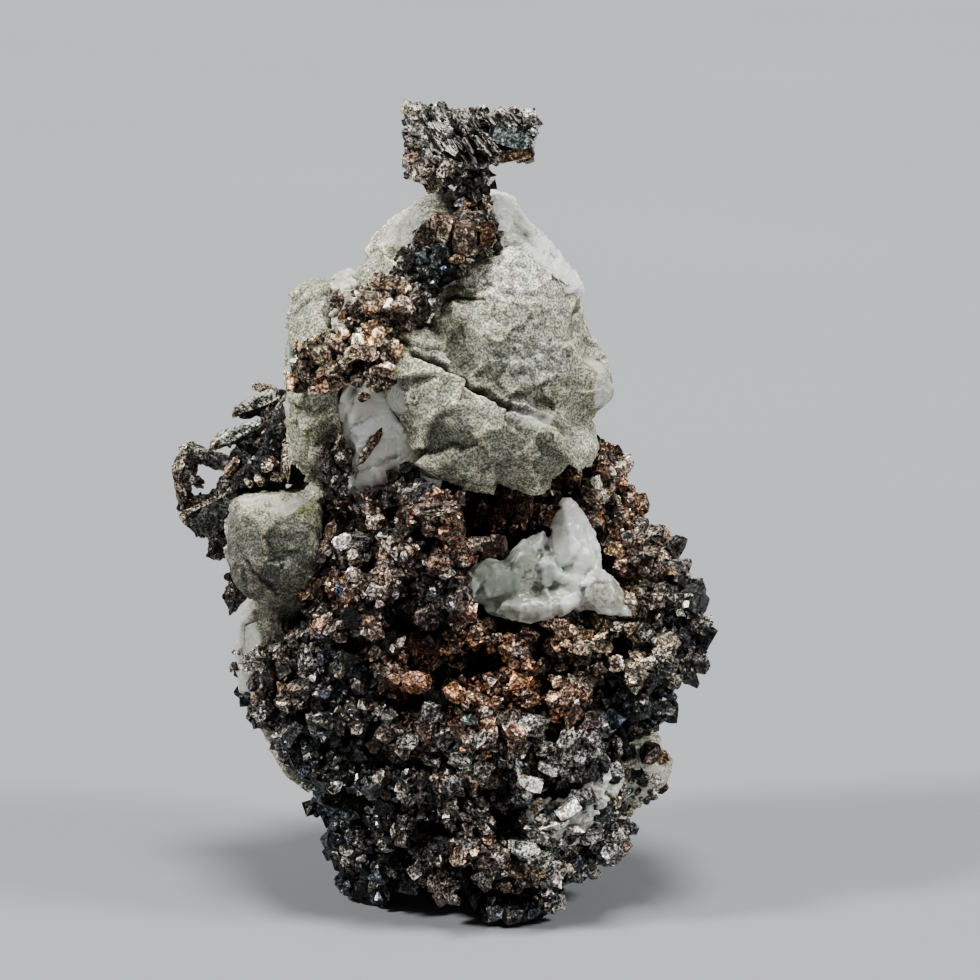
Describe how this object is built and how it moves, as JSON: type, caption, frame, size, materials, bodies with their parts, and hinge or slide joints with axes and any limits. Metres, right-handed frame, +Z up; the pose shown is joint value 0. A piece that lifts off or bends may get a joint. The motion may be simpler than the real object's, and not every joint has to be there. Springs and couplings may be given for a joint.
{
  "type": "native silver specimen on matrix",
  "caption": "Freestanding mineral specimen: tarnished silver crystals crusting a grey-green rock with white calcite, topped by a silver crown on a thin stem.",
  "frame": {"origin": "on the surface the specimen stands on, under the middle of its bounding box", "axes": "+Z up through the crown, display face towards -Y, +X to the right of the display face"},
  "size_m": [0.0408, 0.027, 0.06],
  "materials": {
    "matrix": "dull granular grey-green rock with pale veins",
    "calcite": "white translucent calcite with waxy cleavage faces",
    "crust_silver": "dark tarnished silver crystals, bronze in the hollow",
    "crown_silver": "dark tarnished silver with pale crystal tips",
    "leaf_silver": "dark tarnished silver with a faint blue-green film",
    "bronzed_silver": "brown tarnished silver"
  },
  "bodies": {
    "root": {"matrix_rock": "matrix", "silver_crust": "crust_silver", "silver_crown": "crown_silver", "silver_leaves": "leaf_silver", "silver_window_tuft": "bronzed_silver", "silver_column_tuft": "bronzed_silver", "silver_blade": "bronzed_silver", "calcite_rim": "calcite", "calcite_window": "calcite", "calcite_saddle": "calcite", "calcite_streak": "calcite", "calcite_cluster": "calcite"}
  },
  "joints": []
}
